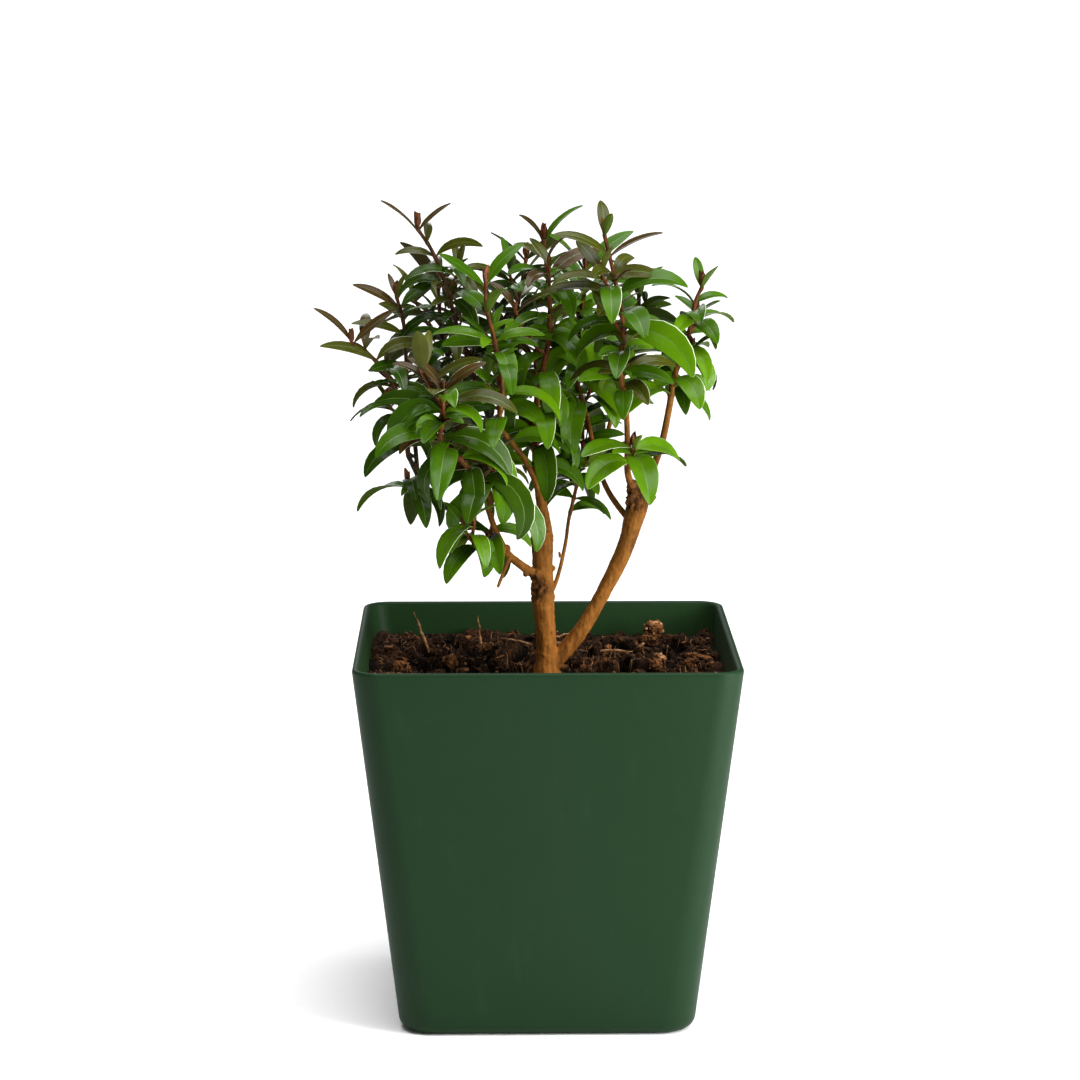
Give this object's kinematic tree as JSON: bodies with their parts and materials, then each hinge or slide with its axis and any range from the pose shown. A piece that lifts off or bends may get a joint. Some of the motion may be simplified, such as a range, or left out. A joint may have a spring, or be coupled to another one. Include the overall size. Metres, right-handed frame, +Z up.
{
  "type": "dwarf myrtle bonsai in a pot",
  "caption": "Small upright myrtle tree with a bare tan trunk, forking boughs and glossy pointed leaves, growing in a tapered square plastic pot filled with bark mix.",
  "frame": {"origin": "centre of the pot's flat underside", "axes": "+Z up, +X to the plant's right seen from its front, +Y towards its back"},
  "size_m": [0.1444, 0.1302, 0.2792],
  "materials": {
    "pot": "dark green moulded plastic, satin, with a softly rounded rim",
    "potting_mix": "moist dark brown bark chips and fibre, rough and clumpy",
    "bark": "tan orange-brown bark, rough, with small knobs and cut shoulders",
    "dark_bark": "dark brown bark of the shaded boughs",
    "leaves": "glossy mid-green leaf with a paler underside and margin",
    "young_leaves": "dark olive to purplish young leaf, glossy, with a paler underside"
  },
  "bodies": {
    "root": {"pot": "pot", "potting_mix": "potting_mix", "trunk": "bark", "right_stem": "bark", "central_leader": "bark", "left_bough": "bark", "far_left_bough": "dark_bark", "left_low_bough": "bark", "left_side_bough": "dark_bark", "left_upper_bough": "dark_bark", "left_top_bough": "dark_bark", "centre_left_bough": "bark", "right_leader": "bark", "right_centre_bough": "bark", "right_low_bough": "bark", "inner_right_bough": "bark", "thin_back_stem": "bark", "back_bough": "bark", "back_low_bough": "bark", "back_left_bough": "dark_bark", "back_right_bough": "bark", "centre_foliage": "leaves", "centre_left_foliage": "leaves", "left_front_foliage": "leaves", "left_outer_foliage": "young_leaves", "left_side_foliage": "leaves", "left_upper_foliage": "young_leaves", "left_top_foliage": "young_leaves", "left_low_foliage": "leaves", "right_foliage": "leaves", "right_low_foliage": "leaves", "right_centre_foliage": "leaves", "inner_right_foliage": "leaves", "inner_foliage": "leaves", "back_left_foliage": "young_leaves", "back_foliage": "leaves", "back_low_foliage": "leaves", "back_right_foliage": "leaves"}
  },
  "joints": []
}
